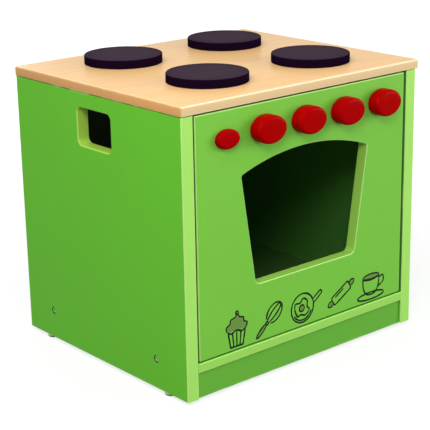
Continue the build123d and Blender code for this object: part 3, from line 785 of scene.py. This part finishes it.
def run_group(carrier, group, values):
    """Runs a group on an object that only carries points or strokes, and keeps the result as a mesh."""
    modifier = carrier.modifiers.new(group.name, "NODES")
    modifier.node_group = group
    for item in group.interface.items_tree:
        if item.item_type == "SOCKET" and item.in_out == "INPUT" and item.name in values:
            modifier[item.identifier] = values[item.name]
    bpy.context.view_layer.update()
    mesh = bpy.data.meshes.new_from_object(carrier.evaluated_get(bpy.context.evaluated_depsgraph_get()))
    carrier.modifiers.remove(modifier)
    bpy.data.objects.remove(carrier)
    return mesh


# %% The copying group
copies, given, out = geometry_group(
    "copies on points",
    [("Points", GEOMETRY), ("Template", OBJECT), ("Material", MATERIAL), ("Spin", FLOAT),
     ("Seed", "NodeSocketInt")],
    "Copies",
)
template = put(copies, "GeometryNodeObjectInfo", {"Object": given["Template"]}).outputs["Geometry"]
stored = put(copies, "GeometryNodeInputNamedAttribute", {"Name": "facing"}, data_type="FLOAT_VECTOR")
upright = put(copies, "FunctionNodeAlignRotationToVector", {"Vector": stored.outputs[0]}, axis="Z")
least = math_node(copies, "MULTIPLY", given["Spin"], -1.0)
spin = put(copies, "FunctionNodeRandomValue", {2: least, 3: given["Spin"], "Seed": given["Seed"]})
turn = put(copies, "FunctionNodeAxisAngleToRotation", {"Axis": (0, 0, 1), "Angle": spin.outputs[1]})
both_turns = {"Rotation": upright.outputs[0], "Rotate By": turn.outputs[0]}
turned = put(copies, "FunctionNodeRotateRotation", both_turns, rotation_space="LOCAL")
placed = put(
    copies, "GeometryNodeInstanceOnPoints",
    {"Points": given["Points"], "Instance": template, "Rotation": turned.outputs[0]},
)
solid = put(copies, "GeometryNodeRealizeInstances", {"Geometry": placed.outputs[0]}).outputs[0]
coloured = put(copies, "GeometryNodeSetMaterial", {"Geometry": solid, "Material": given["Material"]})
copies.links.new(coloured.outputs[0], out["Copies"])


def repeat(name, template, material, points, directions, spin, seed):
    """Sets copies of a template on points that each look in their own direction, as one plain mesh."""
    cloud = bpy.data.meshes.new(f"{name}_points")
    cloud.from_pydata(points, [], [])
    attribute = cloud.attributes.new("facing", "FLOAT_VECTOR", "POINT")
    attribute.data.foreach_set("vector", [value for direction in directions for value in direction])
    values = {"Template": template, "Material": material, "Spin": spin, "Seed": seed}
    mesh = run_group(add_object(f"{name}_carrier", cloud), copies, values)
    mesh.name = name
    bpy.data.objects.remove(template)
    return add_object(name, mesh)


# %% [markdown]
# ## Hotplates, glides and side screws
#
# **Hotplate.** A turned disc with a softly rounded upper edge and a face that dips by a quarter
# millimetre, as a lathe leaves it. The template stores each point's distance from the middle as `turning`.
#
# ** Glide.** A nylon foot with a domed olive sole and a pale band at its top painted as a highlight, nailed under the side panel.
#
# **Side screw.** A furniture screw, sunk a little below the lacquer, with a six-sided socket. Its loops go
# from the round rim inwards, turn into a hexagon at the socket's mouth and then down to its floor.

# %% Hotplates
disc_lower_round = 0.5 * MM
disc_upper_round = 1.6 * MM
disc_dip = 0.25 * MM


def disc_template(radius, thickness):
    """A turned disc with its own distances from the middle."""
    pairs = rounding(disc_lower_round, 0.0, 3, rising=False) + rounding(disc_upper_round, thickness, 6)
    flat_radius = radius - disc_upper_round
    for share in (0.06, 0.15, 0.3, 0.45, 0.6, 0.75, 0.9):
        pairs.append((disc_upper_round + flat_radius * share, thickness - disc_dip * share * (2 - share)))
    rings = [(oval(radius - inset, radius - inset, 128), height) for inset, height in pairs]
    disc = loft("disc_template", [[(x, y, height) for x, y in ring] for ring, height in rings])
    turning = disc.data.attributes.new("turning", "FLOAT", "POINT")
    turning.data.foreach_set("value", [math.hypot(v.co.x, v.co.y) for v in disc.data.vertices])
    return disc


disc_points = [(middle(name)[0], middle(name)[1], worktop_high[2]) for name in disc_names]
disc = disc_template(disc_radius, disc_high[2] - disc_low[2])
discs = repeat("hotplates", disc, hotplate_material, disc_points, [(0, 0, 1)] * 4, 0.0, 1)
finish_piece(discs, "carcass", hotplate_material, "hotplate", *disc_names)

# %% Glides
glide_radius = 7.5 * MM
foot_height = left_low[2]
glide_low, glide_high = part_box("glides")
glide_xs = (glide_low[0] + glide_radius, glide_high[0] - glide_radius)
glide_ys = (glide_low[1] + glide_radius, glide_high[1] - glide_radius)
glide_points = [(x, y, foot_height) for x in glide_xs for y in glide_ys]
pairs = rounding(0.3 * MM, 0.0, 2, rising=False) + rounding(1.5 * MM, foot_height - 0.2 * MM, 5)
pairs += [(3.5 * MM, foot_height - 0.06 * MM), (5.5 * MM, foot_height)]
loops = [[(x, y, h) for x, y in oval(glide_radius - inset, glide_radius - inset, 48)] for inset, h in pairs]
glides = repeat("nylon_glides", loft("glide_template", loops), sole, glide_points, [(0, 0, -1)] * 4, 3.1, 4)
finish_piece(glides, "carcass", sole, "nylon", "glides")


# %% Side screws
def hexagon(flat, count):
    """Points on a hexagon, at the same angles as an oval's."""
    points = []
    for i in range(count):
        angle = 2 * math.pi * i / count
        reach = flat / 2 / math.cos((angle + math.pi / 6) % (math.pi / 3) - math.pi / 6)
        points.append((reach * math.cos(angle), reach * math.sin(angle)))
    return points


# Millimetres: radius and height of the round part, then width across flats and height of the socket.
round_part = [(2.5, -16.0), (3.5, -15.0), (3.5, -3.6), (4.1, -1.1), (3.9, -0.7), (3.6, -0.6), (2.75, -0.55)]
socket_part = [(4.5, -0.6), (4.05, -0.9), (4.0, -2.9), (3.4, -3.1), (1.0, -3.3)]
outlines = [(oval(radius, radius, 48), height) for radius, height in round_part]
outlines += [(hexagon(flat, 48), height) for flat, height in socket_part]
loops = [[(x * MM, y * MM, height * MM) for x, y in outline] for outline, height in outlines]

head_radius = 5 * MM  # of the exact model's screws, which gives their middles from their box
screw_low, screw_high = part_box("shelf_screws")
screw_ys = (screw_low[1] + head_radius, screw_high[1] - head_radius)
screw_z = (screw_low[2] + screw_high[2]) / 2
screw_points = [(x, y, screw_z) for x in (screw_low[0], screw_high[0]) for y in screw_ys]
screw_directions = [(-1, 0, 0), (-1, 0, 0), (1, 0, 0), (1, 0, 0)]
side_screws = repeat(
    "side_screws", loft("screw_template", loops), screw_paint, screw_points, screw_directions, 0.5, 7
)
finish_piece(side_screws, "carcass", screw_paint, "steel", "shelf_screws")

# %% [markdown]
# ## The printed strip
#
# Under the window the door carries a printed row of plain kitchen drawings in thin dark green line: a cup
# cake, a whisk, a pan with an egg, a rolling pin and a cup on its saucer, some of them tilted.
#
# Screen-print ink stands a few hundredths of a millimetre proud. Each stroke is a curve on the door's
# face; a second Geometry Nodes group spaces its points evenly, thins its start like a pen's, sweeps a
# circle along it and then presses it flat. Pale green fills lie under some of the strokes.

# %% The ink group
ink_lines, given, out = geometry_group(
    "ink lines",
    [("Strokes", GEOMETRY), ("Line width", FLOAT), ("Ink height", FLOAT), ("Unevenness", FLOAT),
     ("Material", MATERIAL)],
    "Ink",
)
even = put(
    ink_lines, "GeometryNodeResampleCurve", {"Curve": given["Strokes"], "Length": 0.7 * MM}, mode="LENGTH"
)
along = put(ink_lines, "GeometryNodeSplineParameter").outputs["Length"]
where = put(ink_lines, "GeometryNodeInputPosition").outputs[0]
wobble = math_node(ink_lines, "SUBTRACT", noise(ink_lines, where, 90.0, 1.0), 0.5)
wobble = math_node(ink_lines, "MULTIPLY", wobble, given["Unevenness"])
pen_start = {"Value": along, "From Max": 4 * MM, "To Min": 0.55, "To Max": 1.0}
width = put(ink_lines, "ShaderNodeMapRange", pen_start).outputs[0]
width = math_node(ink_lines, "MULTIPLY", width, math_node(ink_lines, "ADD", wobble, 1.0))
width = math_node(ink_lines, "MULTIPLY", width, math_node(ink_lines, "MULTIPLY", given["Line width"], 0.5))
sized = put(ink_lines, "GeometryNodeSetCurveRadius", {"Curve": even.outputs[0], "Radius": width}).outputs[0]
circle = put(ink_lines, "GeometryNodeCurvePrimitiveCircle", {"Resolution": 8, "Radius": 1.0})
radius = put(ink_lines, "GeometryNodeInputRadius").outputs[0]
swept = put(
    ink_lines, "GeometryNodeCurveToMesh",
    {"Curve": sized, "Profile Curve": circle.outputs["Curve"], "Scale": radius, "Fill Caps": True},
)
flat = math_node(ink_lines, "DIVIDE", given["Ink height"], given["Line width"])
press = put(ink_lines, "ShaderNodeCombineXYZ", {0: 1.0, 1: flat, 2: 1.0}).outputs[0]
pressed = put(ink_lines, "GeometryNodeTransform", {"Geometry": swept.outputs[0], "Scale": press}).outputs[0]
inked = put(ink_lines, "GeometryNodeSetMaterial", {"Geometry": pressed, "Material": given["Material"]})
ink_lines.links.new(inked.outputs[0], out["Ink"])

# %% [markdown]
# ### The drawings
#
# Each drawing is a list of strokes and a list of fills, in millimetres about its own middle. Round strokes
# are arcs of ovals, and free ones flow through a few points.


# %% Drawing helpers
def arc(cx, cy, rx, ry, start, end, count=28):
    """Points on an oval's arc, angles in degrees."""
    turns = [math.radians(start + (end - start) * i / count) for i in range(count + 1)]
    return [(cx + rx * math.cos(t), cy + ry * math.sin(t)) for t in turns]


def smooth(points, count=10):
    """A flowing line through a few points."""
    dense = []
    ends = [points[0]] + list(points) + [points[-1]]
    for a, b, c, d in zip(ends, ends[1:], ends[2:], ends[3:]):
        for i in range(count):
            t = i / count
            dense.append(tuple(
                0.5 * (2 * q + (r - p) * t + (2 * p - 5 * q + 4 * r - s) * t * t
                       + (3 * q - p - 3 * r + s) * t ** 3)
                for p, q, r, s in zip(a, b, c, d)
            ))
    return dense + [points[-1]]


# %% The drawings
def cup_cake():
    """A pleated case with a soft top and a berry."""
    case = [(-14, 2), (-10, -19), (10, -19), (14, 2)]
    pleats = [[(x, 1), (x * 0.72, -18)] for x in (-7, 0, 7)]
    top = smooth([
        (-15, 2), (-17, 8), (-11, 12), (-9, 17), (-2, 19), (1, 23),
        (5, 18), (11, 16), (12, 11), (17, 8), (15, 2),
    ])
    rim = smooth([(-15, 2), (-8, -1), (0, 2), (8, -1), (15, 2)])
    berry = arc(1, 24, 2.2, 2.2, 0, 360)
    return [case, top, rim, berry] + pleats, [top]


def whisk():
    """Two wire loops, a collar and a handle."""
    wires = [arc(0, 10, width, 15, -66, 246) for width in (10.5, 4.0)]
    collar = [(-2.4, -5), (-2.4, -8), (2.4, -8), (2.4, -5), (-2.4, -5)]
    handle = arc(0, -19, 2.6, 11, 90, 450)
    return wires + [collar, handle], [handle]


def pan():
    """A frying pan with an egg in it."""
    egg = smooth([
        (-13, 2), (-11, 9), (-3, 8), (3, 12), (9, 7), (8, -1),
        (11, -6), (4, -11), (-4, -8), (-10, -8), (-13, 2),
    ])
    yolk = arc(-1, 0, 4.2, 4.2, 0, 360)
    handle = [(18, 5), (33, 12), (35, 9), (34, 7), (19, -1)]
    return [arc(0, 0, 19, 19, 0, 360, 48), arc(0, 0, 16, 16, 200, 330), egg, handle, yolk], [yolk]


def rolling_pin():
    """A barrel with a grip at each end."""
    right_end, left_end = arc(15, 0, 2, 6, -90, 90, 10), arc(-15, 0, 2, 6, 90, 270, 10)
    barrel = [(-15, -6), (15, -6)] + right_end + [(-15, 6)] + left_end
    grips = [
        smooth([(side * 17, -2.4), (side * 22, -3.4), (side * 26, 0), (side * 22, 3.4), (side * 17, 2.4)])
        for side in (-1, 1)
    ]
    return [barrel, [(-11, 2.6), (6, 2.6)]] + grips, grips


def cup_and_saucer():
    """A cup, full to the brim, on its saucer."""
    side = smooth([(-13, 9), (-12, -3), (-6, -11), (6, -11), (12, -3), (13, 9)])
    bowl = [(-13, 9)] + side + [(13, 9)]
    brim = arc(0, 9, 13, 3.4, 0, 360, 36)
    handle = smooth([(12.6, 5), (19, 7), (20, 0), (14, -4), (10.5, -5)])
    saucer = arc(0, -13.5, 21, 4.2, 0, 360, 40)
    return [bowl, brim, handle, saucer, arc(0, 8.2, 9.5, 1.9, 180, 360)], [brim]


# %% [markdown]
# ### Printing them on the door
#
# The strip is laid out in a list: how far each drawing stands from the strip's middle, how much it is lifted
# and tilted, and its size. The strokes go through the ink group. The fills are flat faces that lie closer
# to the lacquer than the lines, so that the lines stay on top.


# %% The strip
def printed(shape, along_x, up_z, tilt, size):
    """Strokes and fills of a drawing, turned, sized and put on the door's face, in metres."""
    strokes, fills = shape()
    c, s = math.cos(math.radians(tilt)) * size, math.sin(math.radians(tilt)) * size

    def put_down(points):
        return [((along_x + x * c - y * s) * MM, (up_z + x * s + y * c) * MM) for x, y in points]

    return [put_down(points) for points in strokes], [put_down(points) for points in fills]


strip = [
    (cup_cake, -122, -1.0, 0, 1.02), (whisk, -66, 0.5, -48, 1.02), (pan, -9, 0.0, 8, 1.04),
    (rolling_pin, 62, 2.0, 30, 1.06), (cup_and_saucer, 119, 0.0, 0, 1.2),
]
# The strip's middle, in millimetres: a little right of the door's, and this far above its lower edge.
strip_x = (door_low[0] + door_high[0]) / 2 / MM + 3.0
strip_z = door_low[2] / MM + 24.5
all_strokes, all_fills = [], []
for shape, along_x, up_z, tilt, size in strip:
    strokes, fills = printed(shape, strip_x + along_x, strip_z + up_z, tilt, size)
    all_strokes += strokes
    all_fills += fills
print("printed strokes:", len(all_strokes), "fills:", len(all_fills))

# %% Lines
ink = simple_material(
    "dark green ink", linear(4, 17, 8), linear(10, 28, 12), 700.0, (0.45, 0.6), 0.1, Specular_IOR_Level=0.1
)
curve = bpy.data.curves.new("print_strokes", "CURVE")
curve.dimensions = "3D"
for points in all_strokes:
    spline = curve.splines.new("POLY")
    spline.points.add(len(points) - 1)
    for point, (x, z) in zip(spline.points, points):
        point.co = (x, 0.0, z, 1.0)
values = {"Line width": 2.5 * MM, "Ink height": 0.10 * MM, "Unevenness": 0.8, "Material": ink}
mesh = run_group(add_object("print_strokes", curve), ink_lines, values)
mesh.name = "printed_lines"
mesh.transform(Matrix.Translation((0, door_face_y, 0)))
mesh.shade_smooth()
finish_piece(add_object("printed_lines", mesh), "door", ink, "green")

# %% Fills
tint = simple_material(
    "pale green ink", linear(96, 140, 60), linear(120, 156, 76), 500.0, (0.45, 0.6), 0.1,
    Specular_IOR_Level=0.1,
)
fill_height = 0.02 * MM
same_point = 0.01 * MM
fill_mesh = bpy.data.meshes.new("printed_fills")
shell = bmesh.new()
for points in all_fills:
    ring = points[:-1] if math.dist(points[0], points[-1]) < same_point else points
    rim = [shell.verts.new((x, door_face_y - fill_height, z)) for x, z in ring]
    edges = [shell.edges.new((rim[i - 1], rim[i])) for i in range(len(rim))]
    bmesh.ops.triangle_fill(shell, edges=edges, use_beauty=True)
bmesh.ops.recalc_face_normals(shell, faces=shell.faces)
for face in shell.faces:
    if face.normal.y > 0:
        face.normal_flip()
shell.to_mesh(fill_mesh)
shell.free()
finish_piece(add_object("printed_fills", fill_mesh), "door", tint, "green")

# %% [markdown]
# ## The floor
#
# The photograph was taken in a white studio. The floor is a plain pale sheet, mid grey as the light finds
# it and white as the camera sees it: Light Path tells its material which of the two is asking. Nearer the
# oven it is lifted less, so that the soft shadow stays.

# %% Floor
floor_mesh = bpy.data.meshes.new("studio_floor")
shell = bmesh.new()
bmesh.ops.create_circle(shell, cap_ends=True, segments=96, radius=4.0)
shell.to_mesh(floor_mesh)
shell.free()
floor = add_object("studio_floor", floor_mesh)
floor_material, tree, shader = new_material("studio floor", Roughness=0.8, Specular_IOR_Level=0.1)
shader.inputs["Emission Strength"].default_value = 1.0
place = own_place(tree)
clouds = blend_colour(tree, noise(tree, place, 3.0, 2.0), (0.26, 0.26, 0.26, 1), (0.30, 0.30, 0.30, 1))
tree.links.new(clouds, shader.inputs["Base Color"])
path = put(tree, "ShaderNodeLightPath").outputs
straight = math_node(tree, "MAXIMUM", path["Is Camera Ray"], path["Is Transmission Ray"])
axes = put(tree, "ShaderNodeSeparateXYZ", {0: place}).outputs
squares = [math_node(tree, "POWER", axes[number], 2.0) for number in (0, 1)]
away = math_node(tree, "SQRT", math_node(tree, "ADD", *squares))
near_and_far = map_range(tree, away, 0.35, 1.6, 0.76, 0.97)
seen = math_node(tree, "MULTIPLY", straight, near_and_far)
mirrored = math_node(tree, "MULTIPLY", path["Is Glossy Ray"], 0.45)
lift = math_node(tree, "MAXIMUM", seen, mirrored)
white = put(tree, "ShaderNodeCombineColor", {0: lift, 1: lift, 2: lift}).outputs[0]
tree.links.new(white, shader.inputs["Emission Color"])
floor.data.materials.append(floor_material)
print("floor:", len(floor_mesh.polygons), "face, staged")

# %% [markdown]
# ## Light
#
# The world is white where the camera sees it and dimmer as a light, so the background stays white without
# washing out the colours. The knobs' shadows fall to the left and hardly down, so the largest soft light
# stands low and far away at the front right. From that distance it lights the whole front evenly. A second
# one above the left side brightens the worktop and that side. A smaller one at the front left softens the
# shadows and glints on the knobs. The fourth, low behind the oven, is only for those who walk round it.

# %% World
world_light = 0.41
world = bpy.data.worlds.new("studio")
bpy.context.scene.world = world
world.use_nodes = True
tree = world.node_tree
background = tree.nodes["Background"]
path = put(tree, "ShaderNodeLightPath").outputs
seen = math_node(tree, "MAXIMUM", path["Is Camera Ray"], path["Is Transmission Ray"])
seen = math_node(tree, "MAXIMUM", seen, path["Is Glossy Ray"])
background.inputs["Color"].default_value = (1.0, 1.0, 1.0, 1.0)
tree.links.new(map_range(tree, seen, 0.0, 1.0, world_light, 1.0), background.inputs["Strength"])
print("world: 1 to the camera,", world_light, "as a light")


# %% Lamps
def softbox(name, place, target, size, power):
    """A square area light that looks at a point."""
    light = bpy.data.lights.new(name, "AREA")
    light.shape = "SQUARE"
    light.size = size
    light.energy = power
    lamp = add_object(name, light)
    lamp.location = place
    lamp.rotation_euler = (Vector(target) - Vector(place)).to_track_quat("-Z", "Y").to_euler()
    print(f"{name}: {power} W, {size} m wide")


aim = (0.0, 0.0, 0.2)
softbox("key", (2.40, -1.90, 0.80), aim, size=1.6, power=50.0)
softbox("top light", (-0.90, -0.20, 1.60), aim, size=1.2, power=11.0)
softbox("front light", (-1.00, -1.10, 1.25), aim, size=0.5, power=11.0)
softbox("back light", (0.40, 2.40, 0.45), aim, size=1.4, power=10.5)

# %% [markdown]
# ## Camera
#
# Its place, direction and lens come from matching the straight edges of the carcass and the worktop with
# the photograph. It looks at the oven from the front left, a little above the worktop.

# %% Camera
camera_data = bpy.data.cameras.new("photo_camera")
camera_data.sensor_width = 36.0
camera_data.lens = 112.68
camera = add_object("photo_camera", camera_data)
camera.location = (-1.1388, -1.3281, 0.7120)
camera.rotation_euler = [math.radians(angle) for angle in (72.592, 1.030, -40.565)]
bpy.context.scene.camera = camera
bpy.context.scene.view_settings.view_transform = "Standard"
print("camera:", round((camera.location - Vector(aim)).length, 3), "metres from the oven's middle")
